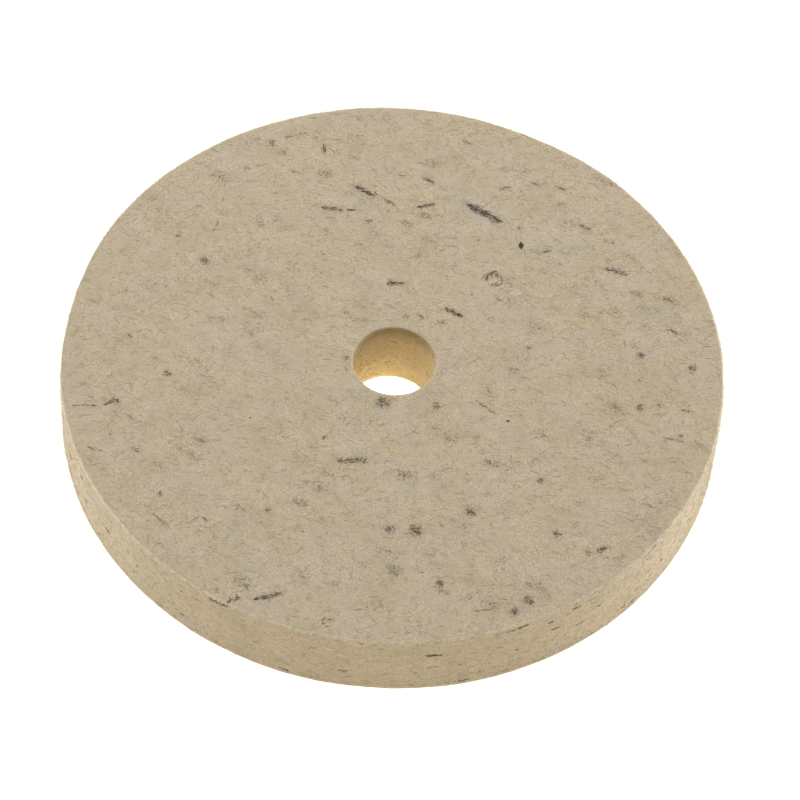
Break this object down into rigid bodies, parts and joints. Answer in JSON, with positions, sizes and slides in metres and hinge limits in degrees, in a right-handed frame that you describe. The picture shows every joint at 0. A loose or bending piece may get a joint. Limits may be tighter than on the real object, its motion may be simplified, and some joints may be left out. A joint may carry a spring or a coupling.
{
  "type": "felt polishing wheel",
  "caption": "Flat hard-felt disc with a plain central arbor hole, for polishing stones and metal on its rim or faces.",
  "frame": {"origin": "on the wheel's axis, in the plane of the lower face, which seats against the arbor's fixed flange", "axes": "+Z along the arbor hole, square to both faces; X and Y in the plane of the faces and alike, because the wheel is round"},
  "size_m": [0.1016, 0.1016, 0.0127],
  "materials": {
    "felt": "pressed natural wool felt, cut face with a short nap, dark kemp hairs and vegetable flecks"
  },
  "bodies": {
    "root": {"felt_disc": "felt"}
  },
  "joints": []
}
